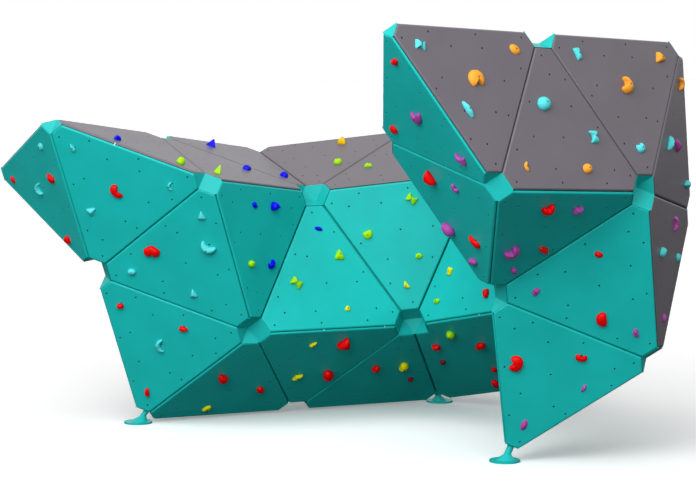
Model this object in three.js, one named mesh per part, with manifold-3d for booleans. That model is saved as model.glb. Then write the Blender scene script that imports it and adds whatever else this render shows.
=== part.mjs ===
// A free-standing faceted climbing wall for a playground.
//
// Its body is a chain of regular tetrahedra and octahedra of one edge length, joined face to face. Each
// outer face of the chain carries a corner-cut triangular panel, and where two faces lie in one plane
// a rhombus panel can take both. Every corner of the body is cut away cell by cell, which leaves a
// recessed cup. A welded frame of cups and tubes carries the panels, and three feet carry the frame.

import * as THREE from 'three';
import { ConvexGeometry } from 'three/addons/geometries/ConvexGeometry.js';
import { mergeVertices } from 'three/addons/utils/BufferGeometryUtils.js';
import Module from 'manifold-3d';

const wasm = await Module();
wasm.setup();

// Driving dimensions, in millimetres.
const EDGE = 1200; // side of every triangle before its corners are cut
const CORNER_CUT = 132; // length that a cut takes off each side at a corner
const PANEL_THICKNESS = 24;
const PANEL_GAP = 6; // open joint between neighbouring panels
const RIM_CHAMFER = 7;
const SEAT_GAP = 0.6; // clear space between a panel and the cup behind it
const TUBE_RADIUS = 21;
const TUBE_GAP = 1.5; // clear space between a tube and the panels in front of it
const TUBE_SIDES = 12;
const CUP_DEPTH = 10; // cup plate, measured along the body's edges
const SHARP_RIDGE = 1; // radians: a ridge is sharp where half of its angle is less than this
const RIDGE_TRIM = 13; // at a sharp ridge the cups stop this far below the panels' faces
const FLOOR_CLEARANCE = 6; // from the floor to the lowest corners of the body

const BASE_RADIUS = 100;
const BASE_THICKNESS = 14;
const SKIRT_RADIUS = 72;
const SKIRT_TOP = 50; // height at which the skirt has narrowed to the stem
const STEM_RADIUS = 24;
const STEM_LENGTH = 140; // before it is trimmed to the cup it stands in
const ROUND_SEGMENTS = 32;

// The corner in the middle of the base line has no cup, so it is open to the inside.
const OPEN_CORNERS = ['F'];

const TEAL = 0x21a8a2;
const GREY = 0x736e73;
const STEEL_TEAL = 0x2fc4bd;

// The corners of the body, by name.
const corners = {};
const cells = [];

function centreOf(names) {
  const sum = names.reduce((total, name) => total.add(corners[name]), new THREE.Vector3());
  return sum.divideScalar(names.length);
}

function unitNormal(names, awayFrom) {
  const [a, b, c] = names.map((name) => corners[name]);
  const normal = new THREE.Vector3().crossVectors(b.clone().sub(a), c.clone().sub(a)).normalize();
  return normal.dot(centreOf(names).sub(awayFrom)) < 0 ? normal.negate() : normal;
}

function addCell(names) {
  cells.push(names);
  return names;
}

// Joins a tetrahedron to one face of a cell. Its fourth corner is the tip.
function addTetrahedron(cell, face, tip) {
  const names = face.split(' ');
  const height = EDGE * Math.sqrt(2 / 3);
  corners[tip] = centreOf(names).addScaledVector(unitNormal(names, centreOf(cell)), height);
  return addCell([...names, tip]);
}

// Joins an octahedron to one face of a cell. Each new corner lies opposite a corner of that face.
function addOctahedron(cell, face, opposite) {
  const names = face.split(' ');
  const tips = opposite.split(' ');
  const faceToCentre = EDGE / Math.sqrt(6);
  const centre = centreOf(names).addScaledVector(unitNormal(names, centreOf(cell)), faceToCentre);
  names.forEach((name, i) => {
    corners[tips[i]] = centre.clone().multiplyScalar(2).sub(corners[name]);
  });
  return addCell([...names, ...tips]);
}

// The chain of cells, from the left wing to the tall end on the right.
function buildChain() {
  const half = EDGE / Math.SQRT2;
  corners.C = new THREE.Vector3(0, 0, half);
  corners.Y1 = new THREE.Vector3(0, 0, -half);
  corners.B = new THREE.Vector3(half, 0, 0);
  corners.G = new THREE.Vector3(-half, 0, 0);
  corners.D = new THREE.Vector3(0, half, 0);
  corners.X1 = new THREE.Vector3(0, -half, 0);

  const leftBlock = addCell(['C', 'Y1', 'B', 'G', 'D', 'X1']);
  const leftShoulder = addTetrahedron(leftBlock, 'B C X1', 'A');
  addTetrahedron(leftShoulder, 'A B X1', 'L');
  const leftLeg = addTetrahedron(leftBlock, 'B D Y1', 'E');
  addTetrahedron(leftLeg, 'D E Y1', 'F');
  addTetrahedron(leftBlock, 'G X1 Y1', 'X2');

  const middleBlock = addOctahedron(leftBlock, 'D G Y1', 'Y2 F H');
  const middleLeg = addTetrahedron(middleBlock, 'F H Y2', 'I');
  addTetrahedron(middleBlock, 'G Y1 Y2', 'X2');
  addTetrahedron(middleLeg, 'H I Y2', 'R1');

  const rightBlock = addOctahedron(middleBlock, 'G H Y2', 'R1 X3 J');
  addTetrahedron(rightBlock, 'G Y2 X3', 'X2');
  const linkBlock = addOctahedron(rightBlock, 'H J R1', 'R2 R3 Z2');
  addTetrahedron(linkBlock, 'H R1 R3', 'I');

  const backBlock = addOctahedron(linkBlock, 'J R2 Z2', 'W Z1 R4');
  const lowerBlock = addOctahedron(backBlock, 'Z2 Z1 W', 'S N K');
  addTetrahedron(lowerBlock, 'K N Z2', 'M');
  const upperBlock = addOctahedron(lowerBlock, 'S K Z1', 'P U Q');
  addTetrahedron(upperBlock, 'U Q P', 'T');
  const upperShoulder = addTetrahedron(upperBlock, 'U S Z1', 'V');
  addTetrahedron(upperShoulder, 'S V Z1', 'W');
}

// Stands the body on its three lowest corners, with the front base line E to I along +X.
function standOnFloor() {
  const along = corners.I.clone().sub(corners.E).normalize();
  const up = unitNormal(['E', 'I', 'M'], corners.D).negate();
  const back = new THREE.Vector3().crossVectors(up, along);
  const toWorld = new THREE.Matrix4().makeBasis(along, back, up).invert();
  const origin = corners.F.clone();
  for (const corner of Object.values(corners)) {
    corner.sub(origin).applyMatrix4(toWorld);
    corner.z += FLOOR_CLEARANCE;
  }
}

buildChain();
standOnFloor();

const keyOf = (names) => [...names].sort().join(' ');

function areNeighbours(a, b) {
  return Math.abs(corners[a].distanceTo(corners[b]) - EDGE) < 1e-3;
}

// Faces that belong to one cell only: key -> outward normal.
function findOuterFaces() {
  const owners = new Map();
  for (const cell of cells) {
    for (let i = 0; i < cell.length; i += 1) {
      for (let j = i + 1; j < cell.length; j += 1) {
        for (let k = j + 1; k < cell.length; k += 1) {
          const face = [cell[i], cell[j], cell[k]];
          const isFace = areNeighbours(face[0], face[1]) && areNeighbours(face[1], face[2])
            && areNeighbours(face[0], face[2]);
          if (!isFace) continue;
          const key = keyOf(face);
          owners.set(key, [...(owners.get(key) ?? []), cell]);
        }
      }
    }
  }
  const outer = new Map();
  for (const [key, owning] of owners) {
    if (owning.length === 1) outer.set(key, unitNormal(key.split(' '), centreOf(owning[0])));
  }
  return outer;
}

const outerFaces = findOuterFaces();

// Unit vector in a face's plane, square to one of its edges and pointing into the face.
function intoFace(edgeStart, edgeDirection, faceNames) {
  const toCentre = centreOf(faceNames).sub(edgeStart);
  return toCentre.addScaledVector(edgeDirection, -toCentre.dot(edgeDirection)).normalize();
}

// Each outer edge with its two faces, their inward vectors and the angle inside the body.
function findEdges() {
  const edges = new Map();
  for (const [key, normal] of outerFaces) {
    const names = key.split(' ');
    for (const skipped of names) {
      const pair = names.filter((name) => name !== skipped);
      const start = corners[pair[0]];
      const direction = corners[pair[1]].clone().sub(start).normalize();
      const edge = edges.get(keyOf(pair)) ?? { start, direction, sides: [] };
      edge.sides.push({ key, normal, inward: intoFace(start, direction, names) });
      edges.set(keyOf(pair), edge);
    }
  }
  for (const edge of edges.values()) {
    const [first, second] = edge.sides;
    const between = first.inward.angleTo(second.inward);
    const isRidge = first.normal.dot(second.inward) < 0;
    edge.halfAngle = (isRidge ? between : 2 * Math.PI - between) / 2;
  }
  return edges;
}

const edges = findEdges();

// How far a panel's side lies from the body's edge at some depth below the panel's face: panels on a
// ridge are mitred, and the others are cut square.
function sideInset(edge, depth) {
  const mitre = edge.halfAngle < Math.PI / 2 - 1e-3 ? depth / Math.tan(edge.halfAngle) : 0;
  return PANEL_GAP / 2 + mitre;
}

function toSolid(geometry) {
  const bare = geometry.clone();
  bare.deleteAttribute('normal');
  bare.deleteAttribute('uv');
  const merged = mergeVertices(bare, 1e-3);
  return new wasm.Manifold(new wasm.Mesh({
    numProp: 3,
    vertProperties: new Float32Array(merged.attributes.position.array),
    triVerts: new Uint32Array(merged.index.array),
  }));
}

function toGeometry(solid) {
  const { vertProperties, triVerts } = solid.getMesh();
  const geometry = new THREE.BufferGeometry();
  geometry.setAttribute('position', new THREE.BufferAttribute(vertProperties, 3));
  geometry.setIndex(new THREE.BufferAttribute(triVerts, 1));
  geometry.computeVertexNormals();
  return geometry;
}

const joinAll = (solids) => solids.reduce((joined, solid) => joined.add(solid));

// Drops the loose slivers that trimming can leave.
function largestPiece(solid) {
  return solid.decompose().reduce((a, b) => (a.volume() > b.volume() ? a : b));
}

// Keeps the part of a flat polygon where (p - point) . inward >= 0.
function clipPolygon(polygon, point, inward) {
  const kept = [];
  polygon.forEach((current, i) => {
    const next = polygon[(i + 1) % polygon.length];
    const here = current.clone().sub(point).dot(inward);
    const there = next.clone().sub(point).dot(inward);
    if (here >= 0) kept.push(current);
    if (here * there < 0) kept.push(current.clone().lerp(next, here / (here - there)));
  });
  return kept;
}

// One triangle of a panel's outline at some depth, with its corners cut straight across. A side that
// isn't on the panel's rim is where the two halves of a rhombus overlap.
function outlineAt(triangle, rim, flat, depth, rimInset) {
  let outline = triangle.map((name) => flat(corners[name]));
  triangle.forEach((name, i) => {
    const start = flat(corners[name]);
    const next = triangle[(i + 1) % 3];
    const side = flat(corners[next]).sub(start).normalize();
    const inward = new THREE.Vector2(-side.y, side.x);
    const key = keyOf([name, next]);
    const inset = rim.includes(key) ? sideInset(edges.get(key), depth) + rimInset : -0.5;
    outline = clipPolygon(outline, start.clone().addScaledVector(inward, inset), inward);

    const facing = side.clone().rotateAround(new THREE.Vector2(), Math.PI / 6);
    const cutDistance = CORNER_CUT * Math.cos(Math.PI / 6) + rimInset;
    outline = clipPolygon(outline, start.clone().addScaledVector(facing, cutDistance), facing);
  });
  return outline;
}

// The one or two faces under a panel, each as a ring of three corners in the panel's own order.
function trianglesOf(ring) {
  if (ring.length === 3) return [ring];
  const [a, b, c, d] = ring;
  return outerFaces.has(keyOf([a, b, c])) ? [[a, b, c], [a, c, d]] : [[a, b, d], [b, c, d]];
}

// A panel: a flat slab whose face lies on the body's surface, with a chamfered rim.
function makePanel(name, ring, colour) {
  const normal = outerFaces.get(keyOf(trianglesOf(ring)[0]));
  const centre = centreOf(ring);
  const xAxis = corners[ring[1]].clone().sub(corners[ring[0]]).normalize();
  const yAxis = new THREE.Vector3().crossVectors(normal, xAxis);
  const flat = (point) => {
    const offset = point.clone().sub(centre);
    return new THREE.Vector2(offset.dot(xAxis), offset.dot(yAxis));
  };
  const turnsLeft = flat(corners[ring[2]]).y > flat(corners[ring[1]]).y;
  const ordered = turnsLeft ? ring : [...ring].reverse();
  const rim = ordered.map((corner, i) => keyOf([corner, ordered[(i + 1) % ordered.length]]));

  const slabs = trianglesOf(ordered).map((triangle) => {
    const levels = [
      { depth: 0, outline: outlineAt(triangle, rim, flat, RIM_CHAMFER, RIM_CHAMFER) },
      { depth: RIM_CHAMFER, outline: outlineAt(triangle, rim, flat, RIM_CHAMFER, 0) },
      { depth: PANEL_THICKNESS, outline: outlineAt(triangle, rim, flat, PANEL_THICKNESS, 0) },
    ];
    return new ConvexGeometry(levels.flatMap(({ depth, outline }) => (
      outline.map((p) => new THREE.Vector3(p.x, p.y, -depth))
    )));
  });
  const geometry = slabs.length > 1 ? toGeometry(joinAll(slabs.map(toSolid))) : slabs[0];
  const material = new THREE.MeshStandardMaterial({ color: colour, roughness: 0.55, metalness: 0 });
  const mesh = new THREE.Mesh(geometry, material);
  mesh.name = name;
  mesh.position.copy(centre);
  mesh.quaternion.setFromRotationMatrix(new THREE.Matrix4().makeBasis(xAxis, yAxis, normal));
  return mesh;
}

// The panels, one list of corner rings for each flat facet of the body.
const FACETS = [
  { name: 'left_wing', colour: TEAL, rings: ['A B L'] },
  { name: 'left_front', colour: TEAL, rings: ['A B C', 'B C D', 'B D E'] },
  { name: 'left_return', colour: TEAL, rings: ['C D G'] },
  { name: 'base_front', colour: TEAL, rings: ['D E F', 'D F H', 'F H I'] },
  { name: 'middle_slab', colour: TEAL, rings: ['D G H'] },
  { name: 'middle_return', colour: TEAL, rings: ['G H J'] },
  { name: 'link_front', colour: TEAL, rings: ['H J Z2'] },
  { name: 'link_rhombus', colour: TEAL, rings: ['H I R3 Z2'] },
  { name: 'left_roof', colour: GREY, rings: ['A C X1', 'C G X1', 'G X1 X2'] },
  { name: 'middle_roof', colour: GREY, rings: ['G X2 X3', 'G J X3'] },
  { name: 'tall_front', colour: GREY, rings: ['T U Q', 'U Q S', 'U S V'] },
  { name: 'tall_side', colour: GREY, rings: ['S V W', 'S W N'] },
  { name: 'tall_overhang', colour: TEAL, rings: ['Q S K'] },
  { name: 'tall_lower', colour: TEAL, rings: ['K S N', 'K N M'] },
  { name: 'tall_left', colour: TEAL, rings: ['T Q P', 'P Q K'] },
  { name: 'wing_top', colour: GREY, rings: ['A L X1'] },
  { name: 'wing_back', colour: GREY, rings: ['B L X1'] },
  { name: 'left_back', colour: GREY, rings: ['B X1 Y1', 'X1 X2 Y1'] },
  { name: 'left_back_low', colour: TEAL, rings: ['B E Y1'] },
  { name: 'base_back', colour: TEAL, rings: ['E F Y1', 'F Y1 Y2', 'F I Y2'] },
  { name: 'middle_back', colour: GREY, rings: ['X2 Y1 Y2', 'X2 X3 Y2'] },
  { name: 'right_back', colour: GREY, rings: ['R1 X3 Y2', 'R1 J X3', 'R1 J R2'] },
  { name: 'right_back_low', colour: TEAL, rings: ['I R1 Y2'] },
  { name: 'link_back_rhombus', colour: TEAL, rings: ['I R1 R2 R3'] },
  { name: 'link_inner', colour: TEAL, rings: ['R3 R2 Z2', 'J Z1 Z2', 'R2 W Z2'] },
  { name: 'tall_back', colour: GREY, rings: ['R2 R4 J', 'R2 W R4', 'W Z1 R4', 'J Z1 R4', 'V W Z1'] },
  { name: 'tall_top', colour: GREY, rings: ['P T U', 'P U Z1', 'U V Z1'] },
  { name: 'tall_inner', colour: TEAL, rings: ['K P Z1'] },
  { name: 'leg_inner_rhombus', colour: TEAL, rings: ['Z1 K M Z2'] },
  { name: 'leg_side_rhombus', colour: TEAL, rings: ['W N M Z2'] },
];

function makePanels() {
  return FACETS.flatMap(({ name, colour, rings }) => rings.map((ring, i) => {
    const number = rings.length > 1 ? `_${i + 1}` : '';
    return makePanel(`${name}_panel${number}`, ring.split(' '), colour);
  }));
}

// The tip of each cell at a corner, out to some length along the cell's edges.
function cornerTips(name, length) {
  const tip = corners[name];
  return joinAll(cells.filter((cell) => cell.includes(name)).map((cell) => {
    const ends = cell.filter((other) => other !== name && areNeighbours(name, other));
    const points = ends.map((end) => tip.clone().lerp(corners[end], length / EDGE));
    return toSolid(new ConvexGeometry([tip.clone(), ...points]));
  }));
}

// The space that the panel on an outer face takes, down to its seat and out to its corner cuts. It
// reaches a little past the face's sides, so that neighbouring spaces overlap.
function panelZone(key, normal) {
  const names = key.split(' ');
  const outline = names.flatMap((name) => names.filter((other) => other !== name).map((other) => {
    const start = corners[name];
    const direction = corners[other].clone().sub(start).normalize();
    return start.clone()
      .addScaledVector(direction, CORNER_CUT - SEAT_GAP)
      .addScaledVector(intoFace(start, direction, names), -2);
  }));
  const points = outline.flatMap((point) => [
    point.clone().addScaledVector(normal, 1),
    point.clone().addScaledVector(normal, -PANEL_THICKNESS - SEAT_GAP),
  ]);
  return toSolid(new ConvexGeometry(points));
}

// A tube behind one outer edge, clear of the two panels that meet there.
function edgeTube({ start, direction, sides, halfAngle }) {
  const outward = sides[0].normal.clone().add(sides[1].normal).normalize();
  const depth = (PANEL_THICKNESS + TUBE_GAP + TUBE_RADIUS) / Math.sin(halfAngle);
  const tube = new THREE.CylinderGeometry(TUBE_RADIUS, TUBE_RADIUS, EDGE - CORNER_CUT, TUBE_SIDES);
  const alongEdge = new THREE.Quaternion().setFromUnitVectors(new THREE.Vector3(0, 1, 0), direction);
  tube.applyQuaternion(alongEdge);
  const middle = start.clone().addScaledVector(direction, EDGE / 2).addScaledVector(outward, -depth);
  tube.translate(...middle);
  return toSolid(tube);
}

// The thin end that a cup's rim would have at a sharp ridge.
function ridgeTrim({ start, direction, sides, halfAngle }) {
  const outward = sides[0].normal.clone().add(sides[1].normal).normalize();
  const depth = RIDGE_TRIM / Math.sin(halfAngle);
  const length = EDGE - 2 * (CORNER_CUT - CUP_DEPTH);
  const width = 2 * depth * Math.tan(halfAngle) + CUP_DEPTH;
  const trim = new THREE.BoxGeometry(length, 2 * depth, width);
  const across = direction.clone().cross(outward);
  trim.applyMatrix4(new THREE.Matrix4().makeBasis(direction, outward, across));
  trim.translate(...start.clone().addScaledVector(direction, EDGE / 2));
  return toSolid(trim);
}

// One welded piece: a recessed cup at each corner, joined by the tubes.
function makeFrame() {
  const names = Object.keys(corners);
  const cupNames = names.filter((name) => !OPEN_CORNERS.includes(name));
  const recesses = joinAll(names.map((name) => cornerTips(name, CORNER_CUT)));
  const cups = joinAll(cupNames.map((name) => cornerTips(name, CORNER_CUT + CUP_DEPTH)));
  const tubes = joinAll([...edges.values()].map(edgeTube));
  const zones = joinAll([...outerFaces].map(([key, normal]) => panelZone(key, normal)));
  const ridges = [...edges.values()].filter((edge) => edge.halfAngle < SHARP_RIDGE);
  const trims = joinAll(ridges.map(ridgeTrim));
  const solid = largestPiece(cups.add(tubes).subtract(zones).subtract(recesses).subtract(trims));
  const material = new THREE.MeshStandardMaterial({
    color: STEEL_TEAL, roughness: 0.4, metalness: 0.2,
  });
  const mesh = new THREE.Mesh(toGeometry(solid), material);
  mesh.name = 'cup_and_tube_frame';
  return mesh;
}

// Points on a level circle.
function circle(centre, radius) {
  return Array.from({ length: ROUND_SEGMENTS }, (_, i) => {
    const angle = (2 * Math.PI * i) / ROUND_SEGMENTS;
    return new THREE.Vector3(radius * Math.cos(angle), radius * Math.sin(angle), 0).add(centre);
  });
}

// A foot: a round base plate, a skirt and a leaning stem that ends in the cup of a lowest corner.
function makeFoot(name, cornerName) {
  const corner = corners[cornerName];
  const towardsBody = new THREE.Vector3();
  for (const [key, normal] of outerFaces) {
    if (key.split(' ').includes(cornerName)) towardsBody.sub(normal);
  }
  towardsBody.normalize();
  const onAxis = (height) => {
    const travel = (height - corner.z) / towardsBody.z;
    return corner.clone().addScaledVector(towardsBody, travel);
  };
  const floorCentre = new THREE.Vector3(corner.x, corner.y, 0);
  const plateTop = floorCentre.clone().setZ(BASE_THICKNESS);

  const plate = new ConvexGeometry([
    ...circle(floorCentre, BASE_RADIUS), ...circle(plateTop, BASE_RADIUS),
  ]);
  const skirt = new ConvexGeometry([
    ...circle(plateTop.clone().setZ(BASE_THICKNESS / 2), SKIRT_RADIUS),
    ...circle(onAxis(SKIRT_TOP), STEM_RADIUS),
  ]);
  const stem = new ConvexGeometry([
    ...circle(onAxis(BASE_THICKNESS), STEM_RADIUS), ...circle(onAxis(STEM_LENGTH), STEM_RADIUS),
  ]);
  const beyondCup = cornerTips(cornerName, 2 * CORNER_CUT + STEM_LENGTH)
    .subtract(cornerTips(cornerName, CORNER_CUT - SEAT_GAP));
  const solid = largestPiece(joinAll([plate, skirt, stem].map(toSolid)).subtract(beyondCup));
  const material = new THREE.MeshStandardMaterial({
    color: STEEL_TEAL, roughness: 0.4, metalness: 0.2,
  });
  const mesh = new THREE.Mesh(toGeometry(solid), material);
  mesh.name = name;
  return mesh;
}

const wall = new THREE.Group();
wall.add(
  ...makePanels(),
  makeFrame(),
  makeFoot('left_foot', 'E'),
  makeFoot('middle_foot', 'I'),
  makeFoot('front_foot', 'M'),
);

// The origin is the middle of the wall's bounding box, on the floor.
wall.updateMatrixWorld(true);
const middle = new THREE.Box3().setFromObject(wall, true).getCenter(new THREE.Vector3());
wall.position.set(-middle.x, -middle.y, 0);

export default wall;
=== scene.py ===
"""A free-standing faceted climbing wall: rounded panels over a cup-and-tube frame, with bolt-on holds."""

import math

import bmesh
import bpy
from mathutils import Matrix, Vector


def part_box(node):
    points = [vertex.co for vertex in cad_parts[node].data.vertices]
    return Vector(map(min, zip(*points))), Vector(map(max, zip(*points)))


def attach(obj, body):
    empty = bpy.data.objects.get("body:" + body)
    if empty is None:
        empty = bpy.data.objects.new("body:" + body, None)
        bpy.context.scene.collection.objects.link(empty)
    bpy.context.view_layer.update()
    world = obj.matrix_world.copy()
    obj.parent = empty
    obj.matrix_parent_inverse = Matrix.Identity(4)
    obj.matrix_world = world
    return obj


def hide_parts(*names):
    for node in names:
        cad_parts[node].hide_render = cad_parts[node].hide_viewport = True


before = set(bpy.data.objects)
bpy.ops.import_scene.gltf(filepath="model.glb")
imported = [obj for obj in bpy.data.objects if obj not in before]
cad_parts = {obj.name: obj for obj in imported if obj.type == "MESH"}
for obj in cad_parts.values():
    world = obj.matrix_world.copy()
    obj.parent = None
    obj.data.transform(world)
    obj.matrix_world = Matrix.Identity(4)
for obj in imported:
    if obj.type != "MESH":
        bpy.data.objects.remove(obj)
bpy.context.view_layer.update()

# Dimensions, in metres.
EDGE = 1.2  # side of every triangle before its corners are cut
CORNER_CUT = 0.132  # length that a cut takes off each side at a corner
THICKNESS = 0.024
GAP = 0.006  # open joint between neighbouring panels
RIM_RADIUS = 0.012
RIM_STEPS = 5
PLAN_FILLET = 0.010  # rounding of a panel's outline as seen from the front
PLAN_FILLET_POINTS = 4
FLOOR_CLEARANCE = 0.006  # from the floor to the lowest corners of the body

HOLE_RADIUS = 0.0062
HOLE_CHAMFER = 0.0012
HOLE_DEPTH = 0.015
HOLE_SIDES = 10
# Places of the holes, in shares of the triangle's height: a grid of ten, and three along each side.
GRID_POINTS = 4
GRID_MARGIN = 0.1375
GRID_STEP = 0.195
EDGE_HOLE_MARGIN = 0.055
EDGE_HOLE_STEPS = (0.25, 0.545, 0.84)

BOLT_RADIUS = 0.0055
BOLT_LENGTH = 0.012
BOLT_CHAMFER = 0.0006
BOLT_CROWN = 0.0008
BOLT_SIDES = 12
SOCKET_RADIUS = 0.0028
SOCKET_DEPTH = 0.003
HOLD_SINK = 0.001  # how far a hold's base lies below the panel's face

TINY = 1e-3  # differences in length or angle below this count as none

# CAD node -> (colour, corners in order round the panel).
PANELS = {
    "left_wing_panel": ("teal", "A B L"),
    "left_front_panel_1": ("teal", "A B C"),
    "left_front_panel_2": ("teal", "B C D"),
    "left_front_panel_3": ("teal", "B D E"),
    "left_return_panel": ("teal", "C D G"),
    "base_front_panel_1": ("teal", "D E F"),
    "base_front_panel_2": ("teal", "D F H"),
    "base_front_panel_3": ("teal", "F H I"),
    "middle_slab_panel": ("teal", "D G H"),
    "middle_return_panel": ("teal", "G H J"),
    "link_front_panel": ("teal", "H J Z2"),
    "link_rhombus_panel": ("teal", "H I R3 Z2"),
    "left_roof_panel_1": ("grey", "A C X1"),
    "left_roof_panel_2": ("grey", "C G X1"),
    "left_roof_panel_3": ("grey", "G X1 X2"),
    "middle_roof_panel_1": ("grey", "G X2 X3"),
    "middle_roof_panel_2": ("grey", "G J X3"),
    "tall_front_panel_1": ("grey", "T U Q"),
    "tall_front_panel_2": ("grey", "U Q S"),
    "tall_front_panel_3": ("grey", "U S V"),
    "tall_side_panel_1": ("grey", "S V W"),
    "tall_side_panel_2": ("grey", "S W N"),
    "tall_overhang_panel": ("teal", "Q S K"),
    "tall_lower_panel_1": ("teal", "K S N"),
    "tall_lower_panel_2": ("teal", "K N M"),
    "tall_left_panel_1": ("teal", "T Q P"),
    "tall_left_panel_2": ("teal", "P Q K"),
    "wing_top_panel": ("grey", "A L X1"),
    "wing_back_panel": ("grey", "B L X1"),
    "left_back_panel_1": ("grey", "B X1 Y1"),
    "left_back_panel_2": ("grey", "X1 X2 Y1"),
    "left_back_low_panel": ("teal", "B E Y1"),
    "base_back_panel_1": ("teal", "E F Y1"),
    "base_back_panel_2": ("teal", "F Y1 Y2"),
    "base_back_panel_3": ("teal", "F I Y2"),
    "middle_back_panel_1": ("grey", "X2 Y1 Y2"),
    "middle_back_panel_2": ("grey", "X2 X3 Y2"),
    "right_back_panel_1": ("grey", "R1 X3 Y2"),
    "right_back_panel_2": ("grey", "R1 J X3"),
    "right_back_panel_3": ("grey", "R1 J R2"),
    "right_back_low_panel": ("teal", "I R1 Y2"),
    "link_back_rhombus_panel": ("teal", "I R1 R2 R3"),
    "link_inner_panel_1": ("teal", "R3 R2 Z2"),
    "link_inner_panel_2": ("teal", "J Z1 Z2"),
    "link_inner_panel_3": ("teal", "R2 W Z2"),
    "tall_back_panel_1": ("grey", "R2 R4 J"),
    "tall_back_panel_2": ("grey", "R2 W R4"),
    "tall_back_panel_3": ("grey", "W Z1 R4"),
    "tall_back_panel_4": ("grey", "J Z1 R4"),
    "tall_back_panel_5": ("grey", "V W Z1"),
    "tall_top_panel_1": ("grey", "P T U"),
    "tall_top_panel_2": ("grey", "P U Z1"),
    "tall_top_panel_3": ("grey", "U V Z1"),
    "tall_inner_panel": ("teal", "K P Z1"),
    "leg_inner_rhombus_panel": ("teal", "Z1 K M Z2"),
    "leg_side_rhombus_panel": ("teal", "W N M Z2"),
}

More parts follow.
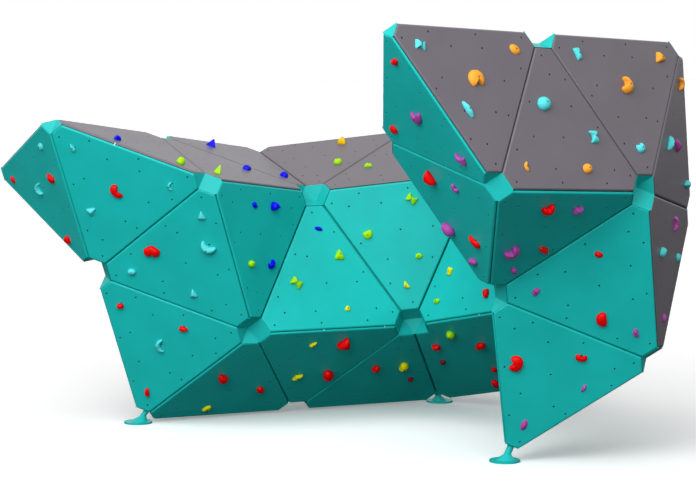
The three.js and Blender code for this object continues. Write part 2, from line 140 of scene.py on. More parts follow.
# Bolt-on holds: face corners -> (steps on the bolt grid towards each corner, colour, shape, length, width
# and height in mm, turn in degrees as seen from outside, shift to the right and up in mm).
HOLDS = {
    "A B L": [
        ("300", "sky", "oval", 58, 50, 25, 60, -45, 8),
        ("210", "red", "drop", 80, 70, 30, 115, -40, 5),
        ("003", "red", "oval", 60, 40, 20, 110, -25, -5),
        ("111", "sky", "crescent", 95, 55, 40, 90, -45, 0),
        ("030", "red", "dee", 60, 62, 34, 90, -75, -5),
    ],
    "A B C": [
        ("300", "sky", "drop", 62, 34, 20, 110, -18, 5),
        ("111", "red", "claw", 100, 80, 30, 95, -5, 0),
        ("120", "sky", "tri-cone", 74, 68, 30, 35, -16, -5),
        ("003", "sky", "crescent", 62, 34, 24, 90, -8, -15),
    ],
    "B C D": [
        ("030", "sky", "tri-cone", 68, 62, 40, 90, 0, -10),
        ("021", "sky", "crescent", 112, 100, 50, 150, -6, 0),
        ("210", "red", "heart", 118, 88, 34, 355, -20, 5),
        ("300", "sky", "oval", 60, 46, 30, 0, 0, -10),
        ("102", "sky", "tri-cone", 72, 60, 34, 95, -12, 0),
    ],
    "B D E": [
        ("300", "red", "dee", 40, 50, 30, 90, -15, -15),
        ("120", "red", "dee", 40, 65, 25, 255, -10, -15),
        ("111", "sky", "crescent", 108, 64, 36, 90, 0, -8),
        ("003", "red", "dee", 70, 35, 25, 90, -10, -15),
    ],
    "D E F": [
        ("210", "red", "drop", 100, 80, 48, 125, 14, -25),
        ("102", "red", "heart", 70, 55, 30, 130, 5, -15),
        ("021", "yellow", "claw", 55, 70, 18, 345, 5, -20),
    ],
    "C D G": [
        ("201", "blue", "claw", 45, 45, 20, 95, 20, -5),
        ("102", "blue", "drop", 75, 70, 50, 345, 20, 0),
        ("120", "lime", "oval", 60, 50, 30, 170, 20, -5),
        ("021", "blue", "claw", 62, 60, 36, 190, 22, 0),
    ],
    "D G H": [
        ("030", "blue", "oval", 60, 30, 20, 160, 0, 0),
        ("021", "lime", "tri", 76, 70, 28, 85, 10, 4),
        ("210", "lime", "bow", 84, 66, 28, 320, 2, 12),
        ("102", "yellow", "dee", 35, 40, 18, 340, 10, 10),
    ],
    "D F H": [
        ("201", "yellow", "heart", 30, 65, 18, 320, 5, -20),
        ("120", "yellow", "drop", 40, 100, 25, 130, 5, -20),
        ("102", "red", "tri", 105, 100, 55, 85, 14, -14),
        ("021", "red", "heart", 112, 82, 50, 290, 12, -14),
    ],
    "F H I": [
        ("120", "red", "drop", 62, 62, 40, 215, 8, -30),
        ("021", "yellow", "drop", 80, 72, 45, 240, -8, -26),
        ("012", "wine", "oval", 45, 40, 25, 0, 0, -5),
    ],
    "G H J": [
        ("210", "lime", "dee", 70, 60, 25, 205, 0, -10),
        ("102", "lime", "bow", 76, 62, 26, 325, -10, 8),
        ("021", "lime", "oval", 52, 40, 20, 10, -6, 4),
        ("030", "yellow", "tri", 35, 60, 18, 220, -5, 5),
    ],
    "H J Z2": [
        ("210", "yellow", "block", 56, 44, 20, 80, -8, 4),
        ("300", "lime", "oval", 56, 36, 20, 20, -8, 6),
        ("102", "red", "dee", 50, 70, 30, 195, -15, 0),
    ],
    "H R3 Z2": [
        ("300", "lime", "dee", 65, 60, 45, 0, 0, -20),
        ("210", "red", "drop", 100, 60, 40, 210, -5, -20),
    ],
    "H I R3": [
        ("300", "red", "block", 55, 55, 35, 185, -5, -20),
        ("210", "wine", "dee", 50, 40, 25, 70, 0, -20),
        ("102", "red", "oval", 50, 46, 25, 90, -10, -10),
        ("012", "red", "oval", 90, 60, 35, 100, -30, 0),
    ],
    "P Q K": [
        ("210", "red", "tri", 95, 90, 50, 75, -20, 10),
        ("120", "purple", "bean", 65, 45, 20, 115, -5, 0),
        ("102", "purple", "claw", 92, 80, 50, 270, -34, 8),
        ("012", "red", "drop", 100, 65, 25, 120, -20, -5),
        ("003", "purple", "dee", 75, 50, 30, 10, -15, 0),
    ],
    "T Q P": [
        ("300", "red", "heart", 80, 45, 20, 195, -20, -5),
        ("111", "purple", "claw", 100, 110, 25, 150, -20, 0),
        ("003", "red", "bean", 70, 60, 20, 5, -15, 5),
        ("030", "purple", "bow", 86, 62, 26, 335, -28, 10),
    ],
    "T U Q": [
        ("300", "sky", "bow", 72, 62, 30, 345, 2, 0),
        ("111", "orange", "bean", 115, 105, 40, 5, 16, 10),
        ("030", "orange", "oval", 82, 62, 26, 140, 14, 8),
        ("102", "sky", "wave", 135, 58, 35, 285, 20, 12),
    ],
    "U Q S": [
        ("210", "sky", "oval", 92, 90, 52, 0, 14, 8),
        ("102", "sky", "bow", 82, 62, 34, 90, 8, 10),
        ("030", "orange", "crescent", 70, 38, 26, 90, 22, 12),
        ("012", "orange", "oval", 66, 64, 38, 0, 14, 6),
    ],
    "U S V": [
        ("300", "sky", "block", 80, 46, 32, 100, 16, 4),
        ("003", "orange", "tri", 70, 74, 38, 340, 8, 8),
        ("111", "orange", "claw", 100, 95, 55, 225, 10, 10),
        ("030", "sky", "bean", 66, 62, 34, 200, 10, 6),
    ],
    "S V W": [
        ("030", "orange", "bow", 86, 60, 34, 90, 10, 8),
        ("210", "sky", "wave", 118, 56, 44, 50, 40, 6),
        ("111", "purple", "wave", 112, 60, 40, 110, 20, 18),
        ("003", "sky", "tri", 66, 56, 38, 180, 14, 8),
    ],
    "S W N": [
        ("120", "purple", "bow", 96, 50, 30, 92, 15, 14),
        ("201", "sky", "heart", 92, 62, 38, 15, 60, 10),
        ("021", "sky", "oval", 56, 60, 30, 60, 40, 8),
        ("003", "purple", "oval", 60, 34, 24, 90, 0, 14),
    ],
    "Q S K": [
        ("210", "red", "bean", 85, 80, 45, 215, 5, -10),
        ("120", "purple", "block", 56, 56, 36, 0, 8, -16),
        ("102", "purple", "bean", 108, 92, 45, 235, 0, -25),
        ("012", "red", "claw", 45, 105, 30, 70, 15, -10),
        ("003", "purple", "claw", 45, 50, 30, 60, 20, -10),
    ],
    "K S N": [
        ("120", "red", "oval-cone", 65, 50, 20, 155, 15, -15),
        ("300", "purple", "dee", 60, 40, 20, 55, 10, 5),
        ("102", "red", "dee", 100, 70, 32, 98, 0, 0),
        ("003", "purple", "dee", 65, 35, 20, 105, 5, 0),
    ],
    "K N M": [
        ("201", "red", "bean", 115, 88, 36, 260, -7, -12),
        ("120", "red", "bean", 80, 50, 26, 170, 0, -12),
        ("021", "purple", "oval-cone", 70, 30, 20, 65, 0, 0),
        ("003", "purple", "oval-cone", 95, 50, 20, 75, 5, 5),
    ],
    "A C X1": [
        ("210", "blue", "drop", 65, 60, 34, 180, 10, 5),
        ("030", "lime", "oval", 65, 60, 45, 0, 10, 10),
    ],
    "C G X1": [
        ("300", "lime", "tri-cone", 60, 56, 64, 0, 10, 10),
        ("021", "blue", "block", 60, 60, 36, 0, 10, 10),
    ],
    "G X1 X2": [
        ("021", "blue", "tri-cone", 90, 80, 58, 0, 10, 0),
        ("300", "blue", "dee", 65, 60, 40, 0, 20, 0),
    ],
    "G X2 X3": [
        ("201", "lime", "oval", 65, 60, 36, 45, 0, 20),
        ("012", "amber", "tri", 60, 65, 50, 90, -10, 15),
    ],
    "G J X3": [
        ("201", "lime", "tri", 60, 45, 28, 0, 0, 20),
    ],
}
# Pale tabs that show in the seams: edge -> shares of its length.
SEAM_TABS = {"D H": (0.44, 0.83), "H Z2": (0.52,), "A C": (0.42,)}
TAB_SIZE = (0.006, 0.026, 0.006)  # along the seam, across it, and deep
# The faces on the far side that carry holds. They take the sets and the colours below in turn.
FAR_FACES = (
    "A L X1", "B L X1", "B X1 Y1", "X1 X2 Y1", "B E Y1", "E F Y1", "F Y1 Y2", "F I Y2", "X2 Y1 Y2",
    "X2 X3 Y2", "R1 X3 Y2", "R1 J X3", "R1 J R2", "I R1 Y2", "R1 R2 R3", "I R1 R3", "R3 R2 Z2", "J Z1 Z2",
    "R2 W Z2", "R2 R4 J", "R2 W R4", "W Z1 R4", "V W Z1", "K P Z1", "Z1 K Z2", "K M Z2", "W N Z2", "N M Z2",
)
# Rows as in HOLDS, without the colour.
FAR_SETS = (
    (
        ("300", "oval", 95, 65, 30, 20, 0, 0), ("111", "heart", 110, 95, 35, 90, 0, 8),
        ("021", "crescent", 110, 50, 30, 40, 0, 0), ("102", "oval-cone", 70, 65, 40, 0, 0, 0),
    ),
    (
        ("030", "bean", 115, 75, 35, 60, 0, 0), ("201", "bow", 95, 65, 30, 30, 0, 0),
        ("012", "dee", 90, 60, 30, 80, 0, 0), ("120", "oval", 65, 60, 28, 0, 0, 0),
    ),
    (
        ("003", "tri", 95, 90, 35, 90, 0, 0), ("120", "wave", 130, 60, 30, 10, 0, 0),
        ("210", "drop", 100, 70, 32, 200, 0, 0),
    ),
    (
        ("102", "claw", 105, 90, 35, 10, 0, 0), ("030", "crescent", 125, 55, 32, 150, 0, 0),
        ("111", "oval", 100, 70, 32, 60, 0, 0), ("300", "drop-cone", 80, 70, 40, 0, 0, 0),
    ),
    (
        ("021", "wave", 125, 60, 30, 70, 0, 0), ("300", "bean", 95, 65, 30, 0, 0, 0),
        ("012", "oval", 75, 70, 30, 0, 0, 0),
    ),
)
FAR_COLOURS = ("sky", "red", "lime", "blue", "yellow", "purple", "orange")


# ---------------------------------------------------------------- corners of the body
corners = {}


def centre_of(names):
    return sum((corners[n] for n in names), Vector()) / len(names)


def unit_normal(names, away_from):
    """Unit normal of a face, on the side that looks away from a point."""
    a, b, c = (corners[n] for n in names)
    normal = (b - a).cross(c - a).normalized()
    return -normal if normal.dot(centre_of(names) - away_from) < 0 else normal


def add_tetrahedron(cell, face, tip):
    """Joins a tetrahedron to one face of a cell."""
    names = face.split()
    normal = unit_normal(names, centre_of(cell))
    corners[tip] = centre_of(names) + normal * EDGE * math.sqrt(2 / 3)
    return names + [tip]


def add_octahedron(cell, face, opposite):
    """Joins an octahedron to one face of a cell. Each new corner lies opposite one of the face's."""
    names, tips = face.split(), opposite.split()
    normal = unit_normal(names, centre_of(cell))
    centre = centre_of(names) + normal * EDGE / math.sqrt(6)
    for name, tip in zip(names, tips):
        corners[tip] = 2 * centre - corners[name]
    return names + tips


def build_corners():
    """The same chain of tetrahedra and octahedra as the CAD body, stood on its feet."""
    half = EDGE / math.sqrt(2)
    start = {
        "C": (0, 0, 1), "Y1": (0, 0, -1), "B": (1, 0, 0),
        "G": (-1, 0, 0), "D": (0, 1, 0), "X1": (0, -1, 0),
    }
    for name, direction in start.items():
        corners[name] = Vector(direction) * half
    left_block = list(start)
    shoulder = add_tetrahedron(left_block, "B C X1", "A")
    add_tetrahedron(shoulder, "A B X1", "L")
    left_leg = add_tetrahedron(left_block, "B D Y1", "E")
    add_tetrahedron(left_leg, "D E Y1", "F")
    add_tetrahedron(left_block, "G X1 Y1", "X2")
    middle_block = add_octahedron(left_block, "D G Y1", "Y2 F H")
    middle_leg = add_tetrahedron(middle_block, "F H Y2", "I")
    add_tetrahedron(middle_leg, "H I Y2", "R1")
    right_block = add_octahedron(middle_block, "G H Y2", "R1 X3 J")
    link_block = add_octahedron(right_block, "H J R1", "R2 R3 Z2")
    back_block = add_octahedron(link_block, "J R2 Z2", "W Z1 R4")
    lower_block = add_octahedron(back_block, "Z2 Z1 W", "S N K")
    add_tetrahedron(lower_block, "K N Z2", "M")
    upper_block = add_octahedron(lower_block, "S K Z1", "P U Q")
    add_tetrahedron(upper_block, "U Q P", "T")
    upper_shoulder = add_tetrahedron(upper_block, "U S Z1", "V")
    add_tetrahedron(upper_shoulder, "S V Z1", "W")

    along = (corners["I"] - corners["E"]).normalized()
    up = -unit_normal(["E", "I", "M"], corners["D"])
    to_world = Matrix((along, up.cross(along), up))
    origin = corners["E"].copy()
    foot_low, foot_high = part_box("left_foot")
    foot = (foot_low + foot_high) / 2
    foot.z = FLOOR_CLEARANCE
    for name in corners:
        corners[name] = to_world @ (corners[name] - origin) + foot


build_corners()


def key_of(names):
    return " ".join(sorted(names))


def triangles_of(ring):
    """The one or two faces under a panel. A rhombus is split along its short diagonal."""
    if len(ring) == 3:
        return [ring]
    a, b, c, d = ring
    if abs((corners[a] - corners[c]).length - EDGE) < TINY:
        return [[a, b, c], [a, c, d]]
    return [[a, b, d], [b, c, d]]


def node_centre(name):
    low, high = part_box(name)
    return (low + high) / 2


# Outward normal of each face, found from the side on which the CAD slab lies.
face_normal = {}
for node, (_, ring_text) in PANELS.items():
    ring = ring_text.split()
    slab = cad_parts[node].data.vertices
    middle = sum((v.co for v in slab), Vector()) / len(slab)
    for triangle in triangles_of(ring):
        face_normal[key_of(triangle)] = unit_normal(triangle, middle)

# At each outer edge: its two faces as (normal, inward vector), and half of the angle inside the body.
edge_sides = {}
half_angle = {}
for key, normal in face_normal.items():
    names = key.split()
    for skipped in names:
        pair = [n for n in names if n != skipped]
        start = corners[pair[0]]
        direction = (corners[pair[1]] - start).normalized()
        offset = corners[skipped] - start
        inward = (offset - direction * offset.dot(direction)).normalized()
        edge_sides.setdefault(key_of(pair), []).append((normal, inward))
for key, sides in edge_sides.items():
    (normal_1, inward_1), (_, inward_2) = sides
    between = inward_1.angle(inward_2)
    if normal_1.dot(inward_2) > TINY:
        between = 2 * math.pi - between
    half_angle[key] = between / 2


# ---------------------------------------------------------------- materials
DRIFT_SCALE = 3.1
DRIFT_DETAIL = 4
DRIFT_RANGE = (0.3, 0.7)  # noise values at the darkest and the lightest tint
ROUGHNESS_DRIFT = (-0.05, 0.07)
GRAIN_DETAIL = 2
GRAIN_DEPTH = 0.001


def srgb(red, green, blue):
    def linear(v):
        v /= 255
        return v / 12.92 if v <= 0.04045 else ((v + 0.055) / 1.055) ** 2.4

    return (linear(red), linear(green), linear(blue), 1.0)


def make_material(name, colour, roughness, *, tint=0.06, grain=0.12, grain_scale=260.0,
                  metallic=0.0, specular=0.35):
    """Moulded or coated surface: a slight drift of colour and roughness, and a fine grain."""
    material = bpy.data.materials.new(name)
    material.use_nodes = True
    nodes, links = material.node_tree.nodes, material.node_tree.links
    shader = nodes["Principled BSDF"]
    shader.inputs["Metallic"].default_value = metallic
    shader.inputs["Specular IOR Level"].default_value = specular
    coordinates = nodes.new("ShaderNodeTexCoord")

    drift = nodes.new("ShaderNodeTexNoise")
    drift.inputs["Scale"].default_value = DRIFT_SCALE
    drift.inputs["Detail"].default_value = DRIFT_DETAIL
    ramp = nodes.new("ShaderNodeValToRGB")
    darkest, lightest = ramp.color_ramp.elements
    darkest.position, lightest.position = DRIFT_RANGE
    darkest.color = tuple(c * (1 - tint) for c in colour[:3]) + (1,)
    lightest.color = tuple(min(1, c * (1 + tint)) for c in colour[:3]) + (1,)
    links.new(coordinates.outputs["Object"], drift.inputs["Vector"])
    links.new(drift.outputs["Fac"], ramp.inputs["Fac"])
    links.new(ramp.outputs["Color"], shader.inputs["Base Color"])

    rough = nodes.new("ShaderNodeMapRange")
    rough.inputs["To Min"].default_value = roughness + ROUGHNESS_DRIFT[0]
    rough.inputs["To Max"].default_value = roughness + ROUGHNESS_DRIFT[1]
    links.new(drift.outputs["Fac"], rough.inputs["Value"])
    links.new(rough.outputs["Result"], shader.inputs["Roughness"])

    grains = nodes.new("ShaderNodeTexNoise")
    grains.inputs["Scale"].default_value = grain_scale
    grains.inputs["Detail"].default_value = GRAIN_DETAIL
    bump = nodes.new("ShaderNodeBump")
    bump.inputs["Strength"].default_value = grain
    bump.inputs["Distance"].default_value = GRAIN_DEPTH
    links.new(coordinates.outputs["Object"], grains.inputs["Vector"])
    links.new(grains.outputs["Fac"], bump.inputs["Height"])
    links.new(bump.outputs["Normal"], shader.inputs["Normal"])
    return material


PANEL_MATERIALS = {
    "teal": make_material("panel_teal", srgb(26, 197, 192), 0.42, specular=0.2),
    "grey": make_material("panel_grey", srgb(104, 99, 107), 0.37, specular=0.5),
}
FRAME_MATERIAL = make_material("frame_teal_coat", srgb(26, 190, 186), 0.38, tint=0.03, specular=0.25)
# Dark steel of the nuts in the bolt holes. On the holds' bolts the same material is painted shade on each
# socket's floor.
NUT_STEEL_AND_SOCKET_SHADE = make_material("nut_steel_and_socket_shade", srgb(52, 54, 56), 0.5, metallic=0.7)
BOLT_MATERIAL = make_material("bolt_steel", srgb(70, 70, 74), 0.35, metallic=0.9)
TAB_MATERIAL = make_material("tab_pale", srgb(205, 240, 238), 0.5)
HOLD_COLOURS = {
    "red": (246, 0, 2),
    "wine": (150, 14, 40),
    "sky": (88, 222, 226),
    "lime": (168, 234, 0),
    "yellow": (244, 236, 10),
    "amber": (255, 200, 12),
    "blue": (0, 0, 236),
    "purple": (182, 78, 172),
    "orange": (255, 168, 54),
}
HOLD_MATERIALS = {
    name: make_material(
        "hold_" + name, srgb(*colour), 0.4, tint=0.05, grain=0.3, grain_scale=420.0, specular=0.16
    )
    for name, colour in HOLD_COLOURS.items()
}


# ---------------------------------------------------------------- meshes
def add_object(name, mesh, materials):
    made = bpy.data.objects.new(name, mesh)
    bpy.context.scene.collection.objects.link(made)
    for material in materials:
        made.data.materials.append(material)
    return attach(made, "root")


def line_crossing(p, direction, q, other):
    """Where the line through p meets the line through q, in the plane."""
    cross = direction.x * other.y - direction.y * other.x
    t = ((q.x - p.x) * other.y - (q.y - p.y) * other.x) / cross
    return p + direction * t


def offset_outline(points, insets):
    """The polygon with each side moved inwards by its own inset. Side i runs from point i to point i + 1."""
    count = len(points)
    sides = []
    for i in range(count):
        direction = (points[(i + 1) % count] - points[i]).normalized()
        inward = Vector((-direction.y, direction.x))
        sides.append((points[i] + inward * insets[i], direction))
    return [line_crossing(*sides[i - 1], *sides[i]) for i in range(count)]


def fillet(points, radius):
    """The polygon with every corner replaced by a short curve."""
    out = []
    count = len(points)
    for i in range(count):
        here, before, after = points[i], points[i - 1], points[(i + 1) % count]
        to_before, to_after = (before - here).normalized(), (after - here).normalized()
        turn = math.pi - to_before.angle(to_after)
        reach = radius * math.tan(turn / 2)
        a, b = here + to_before * reach, here + to_after * reach
        for k in range(PLAN_FILLET_POINTS):
            u = k / (PLAN_FILLET_POINTS - 1)
            out.append((1 - u) ** 2 * a + 2 * u * (1 - u) * here + u * u * b)
    return out


class Panel:
    """One panel: its plane, its outline and its bolt holes."""

    def __init__(self, node, colour, ring):
        self.node, self.colour = node, colour
        self.normal = face_normal[key_of(triangles_of(ring)[0])]
        self.centre = centre_of(ring)
        first, second, third = (corners[name] for name in ring[:3])
        if (second - first).cross(third - first).dot(self.normal) < 0:
            ring = ring[::-1]
        self.ring = ring
        self.x_axis = (corners[ring[1]] - corners[ring[0]]).normalized()
        self.y_axis = self.normal.cross(self.x_axis)
        self.matrix = Matrix.Translation(self.centre) @ Matrix(
            (self.x_axis, self.y_axis, self.normal)
        ).transposed().to_4x4()

    def flat(self, point):
        """A point in the panel's plane."""
        offset = point - self.centre
        return Vector((offset.dot(self.x_axis), offset.dot(self.y_axis)))

    def base_outline(self):
        """Points of the cut-corner outline, with the mitre factor of each side, or None for a corner cut."""
        points, mitres = [], []
        count = len(self.ring)
        for i, name in enumerate(self.ring):
            here = self.flat(corners[name])
            after_name = self.ring[(i + 1) % count]
            to_after = (self.flat(corners[after_name]) - here).normalized()
            to_before = (self.flat(corners[self.ring[i - 1]]) - here).normalized()
            cuts = round(to_before.angle(to_after) / (math.pi / 3))
            for j in range(cuts, -1, -1):
                turn = j * math.pi / 3
                direction = Matrix.Rotation(turn, 2) @ to_after
                points.append(here + direction * CORNER_CUT)
                mitres.append(None)
            half = half_angle[key_of([name, after_name])]
            mitres[-1] = 1 / math.tan(half) if half < math.pi / 2 - TINY else 0.0
        return points, mitres

    def outline(self, depth, rim):
        """The outline at a depth below the face, moved inwards by the rim's own inset."""
        points, mitres = self.base_outline()
        insets = [rim if m is None else GAP / 2 + m * max(depth, RIM_RADIUS) + rim for m in mitres]
        return fillet(offset_outline(points, insets), PLAN_FILLET)

    def holes(self):
        """Centres of the bolt holes."""
        for triangle in triangles_of(self.ring):
            a, b, c = (self.flat(corners[n]) for n in triangle)
            for i in range(GRID_POINTS):
                for j in range(GRID_POINTS - i):
                    u, v = GRID_MARGIN + GRID_STEP * i, GRID_MARGIN + GRID_STEP * j
                    yield a * u + b * v + c * (1 - u - v)
            for p, q, r in ((a, b, c), (b, c, a), (c, a, b)):
                for share in EDGE_HOLE_STEPS:
                    yield p * share + q * (1 - EDGE_HOLE_MARGIN - share) + r * EDGE_HOLE_MARGIN

    def build(self):
        """The panel as a piece. Its material slot 0 is the sheet, and slot 1 is the nut in a hole."""
        bm = bmesh.new()

        def loop(points, depth):
            return [bm.verts.new((p.x, p.y, -depth)) for p in points]

        def bridge(upper, lower, material, smooth):
            count = len(upper)
            for i in range(count):
                k = (i + 1) % count
                face = bm.faces.new((upper[i], lower[i], lower[k], upper[k]))
                face.material_index, face.smooth = material, smooth

        rims = []
        for step in range(RIM_STEPS + 1):
            angle = math.pi / 2 * step / RIM_STEPS
            depth = RIM_RADIUS * (1 - math.cos(angle))
            rims.append(loop(self.outline(RIM_RADIUS, RIM_RADIUS * (1 - math.sin(angle))), depth))
        rims.append(loop(self.outline(THICKNESS, 0), THICKNESS))
        for upper, lower in zip(rims, rims[1:]):
            bridge(upper, lower, 0, lower is not rims[-1])
        back = bm.faces.new(rims[-1][::-1])
        back.smooth = False

        edges = [bm.edges.get((rims[0][i - 1], rims[0][i])) for i in range(len(rims[0]))]
        circle = [
            Vector((math.cos(t), math.sin(t)))
            for t in (2 * math.pi * k / HOLE_SIDES for k in range(HOLE_SIDES))
        ]
        for hole in self.holes():
            mouth = loop([hole + d * (HOLE_RADIUS + HOLE_CHAMFER) for d in circle], 0)
            throat = loop([hole + d * HOLE_RADIUS for d in circle], HOLE_CHAMFER)
            floor = loop([hole + d * HOLE_RADIUS for d in circle], HOLE_DEPTH)
            # Seen from the front these walls face the hole's axis.
            bridge(throat, mouth, 0, True)
            bridge(floor, throat, 1, True)
            bm.faces.new(floor).material_index = 1
            edges += [bm.edges.get((mouth[k - 1], mouth[k])) for k in range(HOLE_SIDES)]
        filled = bmesh.ops.triangle_fill(
            bm, use_beauty=True, use_dissolve=False, edges=edges, normal=(0, 0, 1)
        )
        for item in filled["geom"]:
            if isinstance(item, bmesh.types.BMFace):
                item.smooth = False
                item.normal_update()
                if item.normal.z < 0:
                    item.normal_flip()
        mesh = bpy.data.meshes.new(self.node + "_rounded")
        bm.transform(self.matrix)
        bm.to_mesh(mesh)
        bm.free()
        made = add_object(self.node + "_rounded", mesh, [PANEL_MATERIALS[self.colour], NUT_STEEL_AND_SOCKET_SHADE])
        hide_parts(self.node)


# Outlines of the holds: control points round each shape, in half sizes.
OUTLINES = {
    "oval": [(math.cos(t), math.sin(t)) for t in (math.pi * k / 4 for k in range(8))],
    "drop": [
        (1, 0), (0.45, 0.42), (-0.2, 0.85), (-0.75, 0.8), (-1, 0.3), (-1, -0.3), (-0.75, -0.8), (-0.2, -0.85),
        (0.45, -0.42),
    ],
    "tri": [
        (1, 0), (0.75, 0.3), (0, 0.75), (-0.6, 1), (-0.95, 0.85), (-1, 0), (-0.95, -0.85), (-0.6, -1),
        (0, -0.75), (0.75, -0.3),
    ],
    "bean": [
        (-1, 0), (-0.85, 0.55), (-0.4, 0.95), (0, 1), (0.4, 0.95), (0.85, 0.55), (1, 0), (0.9, -0.6),
        (0.6, -0.95), (0.3, -0.7), (0, -0.42), (-0.3, -0.7), (-0.6, -0.95), (-0.9, -0.6),
    ],
    "heart": [
        (-1, -0.2), (-0.9, 0.3), (-0.4, 0.75), (0, 1), (0.4, 0.75), (0.9, 0.3), (1, -0.2), (0.8, -0.75),
        (0.45, -0.95), (0.15, -0.6), (0, -0.3), (-0.15, -0.6), (-0.45, -0.95), (-0.8, -0.75),
    ],
    "bow": [
        (1, 0), (1, 0.75), (0.82, 1), (0.55, 0.72), (0.2, 0.46), (-0.2, 0.46), (-0.55, 0.72), (-0.82, 1),
        (-1, 0.75), (-1, 0), (-1, -0.75), (-0.82, -1), (-0.55, -0.72), (-0.2, -0.46), (0.2, -0.46),
        (0.55, -0.72), (0.82, -1), (1, -0.75),
    ],
    "dee": [
        (-1, -0.5), (-0.95, 0.1), (-0.6, 0.75), (0, 1), (0.6, 0.75), (0.95, 0.1), (1, -0.5), (0.8, -0.9),
        (0, -1), (-0.8, -0.9),
    ],
    "claw": [
        (-1, -0.6), (-0.9, 0.1), (-0.45, 0.75), (0.2, 1), (0.75, 0.8), (1, 0.3), (0.95, -0.3), (0.6, -0.45),
        (0.15, -0.25), (-0.2, -0.45), (-0.45, -0.95), (-0.8, -1),
    ],
    "block": [
        (1, 0.7), (0.8, 0.95), (-0.8, 0.75), (-1, 0.55), (-1, -0.55), (-0.8, -0.75), (0.8, -0.95), (1, -0.7),
    ],
}
# Bent bars: the spine in half sizes, and the bar's own half width as a share of half the hold's width.
SPINES = {
    "crescent": (
        [(math.cos(t), math.sin(t) - 0.35) for t in (math.radians(a) for a in range(10, 171, 16))],
        0.5,
    ),
    "wave": ([(-1, -0.35), (-0.6, -0.3), (-0.25, -0.08), (0.25, 0.08), (0.6, 0.3), (1, 0.35)], 0.6),
}
SPINE_SHARE = 0.84  # a bar's spine stops short of its ends
WAVE_SHARE = 0.8  # and a wave's spine stops short of its sides
OUTLINE_STEPS = 3  # points on a curve for each control point
SPINE_STEPS = 2
BAR_POINTS = 11  # round a bar's half-round section
BAR_ENDS = 0.04  # share of the swell that is cut off at each end of a bar
BAR_THINNEST = 0.12
BAR_SWELL_POWER = 0.55
BAR_HEIGHT_POWER = 0.8
DOME_RINGS = 7
DOME_TOP = 0.12  # share of a dome's arc that its flat top takes
DOME_REACH_POWER = 0.85  # powers under 1 make a dome fuller than a half ball
DOME_HEIGHT_POWER = 0.8
# Rings of a hold from its top to its base: (share of the outline, share of the height).
DOME_ANGLES = [
    math.pi / 2 * (DOME_TOP + (1 - DOME_TOP) * m / (DOME_RINGS - 1)) for m in range(DOME_RINGS)
]
DOME_PROFILE = [
    (math.sin(angle) ** DOME_REACH_POWER, math.cos(angle) ** DOME_HEIGHT_POWER) for angle in DOME_ANGLES
]
CONE_PROFILE = [(0.08, 1), (0.25, 0.83), (0.5, 0.55), (0.75, 0.28), (1, 0)]


def curve_through(points, per_span, closed):
    """Catmull-Rom points through the given ones."""
    out = []
    count = len(points)
    for i in range(count if closed else count - 1):
        if closed:
            p0, p1, p2, p3 = (points[(i + k) % count] for k in (-1, 0, 1, 2))
        else:
            p0, p1, p2, p3 = (points[min(max(i + k, 0), count - 1)] for k in (-1, 0, 1, 2))
        for k in range(per_span):
            t = k / per_span
            out.append(0.5 * (2 * p1 + (p2 - p0) * t + (2 * p0 - 5 * p1 + 4 * p2 - p3) * t * t
                              + (3 * p1 - p0 - 3 * p2 + p3) * t ** 3))
    return out if closed else out + [points[-1]]


def skin(bm, loops, material):
    """Faces between loops of the same length, with both ends closed."""
    count = len(loops[0])
    faces = [bm.faces.new(loops[0]), bm.faces.new(loops[-1][::-1])]
    for inner, outer in zip(loops, loops[1:]):
        for k in range(count):
            j = (k + 1) % count
            faces.append(bm.faces.new((inner[k], outer[k], outer[j], inner[j])))
    for face in faces:
        face.material_index, face.smooth = material, True


def lump(bm, shape, size, place, material):
    """A dome or a cone over an outline."""
    length, width, height = size
    control = [Vector(p) for p in OUTLINES[shape.split("-")[0]]]
    outline = curve_through(control, OUTLINE_STEPS, True)
    profile = CONE_PROFILE if shape.endswith("-cone") else DOME_PROFILE
    loops = []
    for share, rise in profile:
        z = height * rise - HOLD_SINK
        loops.append([
            bm.verts.new(place @ Vector((p.x * share * length / 2, p.y * share * width / 2, z)))
            for p in outline
        ])
    skin(bm, loops, material)


def bar(bm, shape, size, place, material):
    """A bent bar of half-round section, fuller in the middle. Returns the middle of its spine."""
    length, width, height = size
    points, half_width = SPINES[shape]
    half_length = length / 2 * SPINE_SHARE
    side_scale = half_length if shape == "crescent" else width / 2 * WAVE_SHARE
    control = [Vector((x * half_length, y * side_scale)) for x, y in points]
    spine = curve_through(control, SPINE_STEPS, False)
    last = len(spine) - 1
    loops = []
    for i, here in enumerate(spine):
        along = (spine[min(i + 1, last)] - spine[max(i - 1, 0)]).normalized()
        across = Vector((-along.y, along.x))
        swell = math.sin(math.pi * (BAR_ENDS + (1 - 2 * BAR_ENDS) * i / last))
        fullness = max(BAR_THINNEST, swell) ** BAR_SWELL_POWER
        reach = width / 2 * half_width * fullness
        loops.append([
            bm.verts.new(place @ Vector((
                here.x + across.x * reach * math.cos(t), here.y + across.y * reach * math.cos(t),
                height * fullness * math.sin(t) ** BAR_HEIGHT_POWER - HOLD_SINK,
            )))
            for t in (math.pi * k / (BAR_POINTS - 1) for k in range(BAR_POINTS))
        ])
    skin(bm, loops, material)
    return spine[last // 2]


# Material slots of a group of holds. The holds' own colours follow these.
BOLT_SLOT = 0
# The socket's floor takes the darker nut steel: painted shade at the bottom of the socket.
SOCKET_SHADE_SLOT = 1
FIRST_COLOUR_SLOT = 2


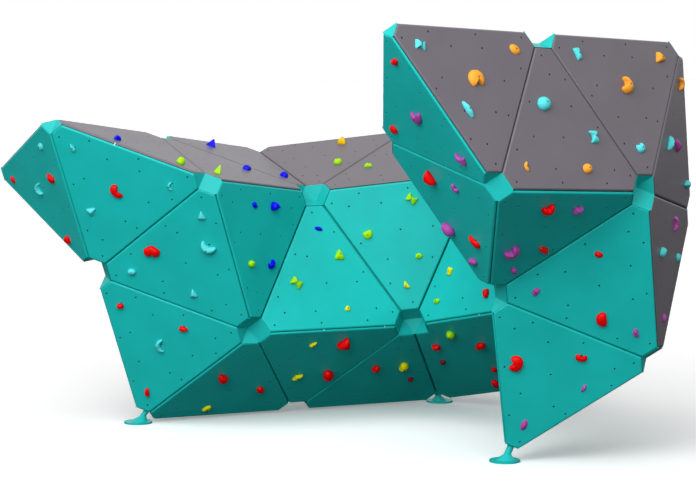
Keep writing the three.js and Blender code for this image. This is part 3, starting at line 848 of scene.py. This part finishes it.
def bolt(bm, place, top):
    """A round bolt head with a round socket, its shoulder at a height above the panel's face. The socket's
    floor takes the darker nut steel, as painted shade.
    """
    profile = (
        (BOLT_RADIUS, top - BOLT_LENGTH), (BOLT_RADIUS, top), (BOLT_RADIUS - BOLT_CHAMFER, top + BOLT_CROWN),
        (SOCKET_RADIUS, top + BOLT_CROWN), (SOCKET_RADIUS, top - SOCKET_DEPTH),
    )
    loops = [
        [bm.verts.new(place @ Vector((r * math.cos(t), r * math.sin(t), z)))
         for t in (2 * math.pi * k / BOLT_SIDES for k in range(BOLT_SIDES))]
        for r, z in profile
    ]
    for lower, upper in zip(loops, loops[1:]):
        for k in range(BOLT_SIDES):
            j = (k + 1) % BOLT_SIDES
            bm.faces.new((lower[k], lower[j], upper[j], upper[k])).material_index = BOLT_SLOT
    # Painted shade: the socket's floor in the darker nut steel.
    bm.faces.new(loops[-1]).material_index = SOCKET_SHADE_SLOT
    bm.faces.new(loops[0][::-1]).material_index = BOLT_SLOT


def face_place(key, steps):
    """Frame at a bolt hole: z out of the face, x to the right as seen from outside."""
    names = key.split()
    weights = [GRID_MARGIN + GRID_STEP * int(s) for s in steps]
    point = sum((corners[n] * w for n, w in zip(names, weights)), Vector())
    normal = face_normal[key_of(names)]
    right = Vector((0, 0, 1)).cross(normal).normalized()
    axes = Matrix((right, normal.cross(right), normal)).transposed().to_4x4()
    return Matrix.Translation(point) @ axes


def add_holds(name, key, holds):
    """The holds of one face, as one piece."""
    bm = bmesh.new()
    used = []
    for steps, colour, shape, length, width, height, turn, aside, up in holds:
        # The bolt hole isn't in the middle of every hold.
        place = face_place(key, steps) @ Matrix.Translation((aside / 1000, up / 1000, 0))
        place = place @ Matrix.Rotation(math.radians(turn), 4, "Z")
        if colour not in used:
            used.append(colour)
        size = (length / 1000, width / 1000, height / 1000)
        material = FIRST_COLOUR_SLOT + used.index(colour)
        if shape in SPINES:
            middle = bar(bm, shape, size, place, material)
            place = place @ Matrix.Translation((middle.x, middle.y, 0))
        else:
            lump(bm, shape, size, place, material)
        if not shape.endswith("-cone"):
            bolt(bm, place, size[2] - HOLD_SINK)
    bmesh.ops.recalc_face_normals(bm, faces=bm.faces)
    mesh = bpy.data.meshes.new(name)
    bm.to_mesh(mesh)
    bm.free()
    add_object(name, mesh, [BOLT_MATERIAL, NUT_STEEL_AND_SOCKET_SHADE] + [HOLD_MATERIALS[c] for c in used])


def add_seam_tabs(name, edge, shares):
    """Small tabs across the joint at an edge, on the middle line between its two panels' rims."""
    start, end = (corners[n] for n in edge.split())
    along = (end - start).normalized()
    normals = [normal for normal, _ in edge_sides[key_of(edge.split())]]
    outward = (normals[0] + normals[1]).normalized()
    half = half_angle[key_of(edge.split())]
    depth = RIM_RADIUS / math.sin(half) + GAP / 2 * math.cos(half)
    axes = Matrix((along, outward.cross(along), outward)).transposed().to_4x4()
    bm = bmesh.new()
    scale = Matrix.Diagonal((*TAB_SIZE, 1))
    for share in shares:
        place = Matrix.Translation(start.lerp(end, share) - outward * depth)
        bmesh.ops.create_cube(bm, size=1, matrix=place @ axes @ scale)
    mesh = bpy.data.meshes.new(name)
    bm.to_mesh(mesh)
    bm.free()
    add_object(name, mesh, [TAB_MATERIAL])


# ---------------------------------------------------------------- pieces
for node, (colour, ring_text) in PANELS.items():
    Panel(node, colour, ring_text.split()).build()
for key, holds in HOLDS.items():
    add_holds("holds_" + key.replace(" ", "-"), key, holds)
for i, key in enumerate(FAR_FACES):
    chosen = [
        (steps, FAR_COLOURS[(i + k) % len(FAR_COLOURS)], *rest)
        for k, (steps, *rest) in enumerate(FAR_SETS[i % len(FAR_SETS)])
    ]
    add_holds("holds_" + key.replace(" ", "-"), key, chosen)
for edge, shares in SEAM_TABS.items():
    add_seam_tabs("seam_tabs_" + edge.replace(" ", "-"), edge, shares)

for node in ("cup_and_tube_frame", "left_foot", "middle_foot", "front_foot"):
    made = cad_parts[node]
    made.data.materials.clear()
    made.data.materials.append(FRAME_MATERIAL)


# ---------------------------------------------------------------- stage, light, camera
FLOOR_SIZE = 400
FLOOR_WHITE = 1.16  # as the camera sees it
FLOOR_BOUNCE = 0.1  # as all other light sees it
FLOOR_GLOW = 0.12  # for the camera alone

KEY_STRENGTH = 2.4
KEY_SPREAD = 90  # degrees
KEY_DIRECTION = Vector((0.46, 0.57, -0.68))

SIDE_POWER = 190
SIDE_SIZE = 4.0
SIDE_PLACE = Vector((-4.2, -5.0, 4.6))
SIDE_TARGET = Vector((0, 0, 1))

BACKDROP_LIGHT = 0.26  # as light on the object
BACKDROP_WHITE = 1.0  # as the camera sees it
BACKDROP_GLOSS = 0.7  # what reflections see more

LENS = 112.2  # mm
SENSOR_WIDTH = 36  # mm
VIEW_END = 300
CAMERA_PLACE = Vector((-4.9596, -12.2572, 2.1766))  # from the middle of the base line, in edges
CAMERA_TURN = 23.49  # degrees to the right of +Y
CAMERA_DIP = 4.89  # degrees below level


def white(level):
    return (level, level, level, 1)


def make_floor_material():
    """White to look at, and darker to the light that it would throw back up."""
    material = bpy.data.materials.new("floor_white")
    material.use_nodes = True
    nodes, links = material.node_tree.nodes, material.node_tree.links
    shader = nodes["Principled BSDF"]
    shader.inputs["Roughness"].default_value = 0.85
    shader.inputs["Specular IOR Level"].default_value = 0.1
    shader.inputs["Emission Color"].default_value = white(1)
    path = nodes.new("ShaderNodeLightPath")
    glow = nodes.new("ShaderNodeMath")
    glow.operation = "MULTIPLY"
    glow.inputs[1].default_value = FLOOR_GLOW
    links.new(path.outputs["Is Camera Ray"], glow.inputs[0])
    links.new(glow.outputs["Value"], shader.inputs["Emission Strength"])
    mix = nodes.new("ShaderNodeMix")
    mix.data_type = "RGBA"
    mix.inputs["A"].default_value = white(FLOOR_BOUNCE)
    mix.inputs["B"].default_value = white(FLOOR_WHITE)
    links.new(path.outputs["Is Camera Ray"], mix.inputs["Factor"])
    links.new(mix.outputs["Result"], shader.inputs["Base Color"])
    return material


def add_floor():
    bpy.ops.mesh.primitive_plane_add(size=FLOOR_SIZE, location=(0, 0, 0))
    floor = bpy.context.object
    floor.name = "floor"
    floor.data.materials.append(make_floor_material())


def add_light(name, kind, energy, direction):
    data = bpy.data.lights.new(name, kind)
    data.energy = energy
    light = bpy.data.objects.new(name, data)
    bpy.context.scene.collection.objects.link(light)
    light.rotation_euler = direction.to_track_quat("-Z", "Y").to_euler()
    return light


def add_backdrop():
    """Shows white to the camera and a softer white in reflections, and its light is softer still."""
    world = bpy.data.worlds.new("studio")
    world.use_nodes = True
    nodes, links = world.node_tree.nodes, world.node_tree.links
    background = nodes["Background"]
    background.inputs["Color"].default_value = white(1)
    path = nodes.new("ShaderNodeLightPath")
    for_camera = nodes.new("ShaderNodeMapRange")
    for_camera.inputs["To Min"].default_value = BACKDROP_LIGHT
    for_camera.inputs["To Max"].default_value = BACKDROP_WHITE
    for_gloss = nodes.new("ShaderNodeMath")
    for_gloss.operation = "MULTIPLY_ADD"
    for_gloss.inputs[1].default_value = BACKDROP_GLOSS
    links.new(path.outputs["Is Camera Ray"], for_camera.inputs["Value"])
    links.new(path.outputs["Is Glossy Ray"], for_gloss.inputs[0])
    links.new(for_camera.outputs["Result"], for_gloss.inputs[2])
    links.new(for_gloss.outputs["Value"], background.inputs["Strength"])
    bpy.context.scene.world = world


def add_camera():
    data = bpy.data.cameras.new("camera")
    data.sensor_width = SENSOR_WIDTH
    data.lens = LENS
    data.clip_end = VIEW_END
    camera = bpy.data.objects.new("camera", data)
    bpy.context.scene.collection.objects.link(camera)
    base_middle = (node_centre("left_foot") + node_centre("middle_foot")) / 2
    base_middle.z = FLOOR_CLEARANCE
    camera.location = base_middle + EDGE * CAMERA_PLACE
    camera.rotation_euler = (math.radians(90 - CAMERA_DIP), 0, math.radians(-CAMERA_TURN))
    bpy.context.scene.camera = camera


add_floor()
key_light = add_light("key_light", "SUN", KEY_STRENGTH, KEY_DIRECTION)
key_light.data.angle = math.radians(KEY_SPREAD)
# A softbox to the left of the camera, nearer to the left end of the wall.
side_light = add_light("side_light", "AREA", SIDE_POWER, SIDE_TARGET - SIDE_PLACE)
side_light.data.size = SIDE_SIZE
side_light.location = SIDE_PLACE
add_backdrop()
bpy.context.scene.view_settings.view_transform = "Standard"
add_camera()
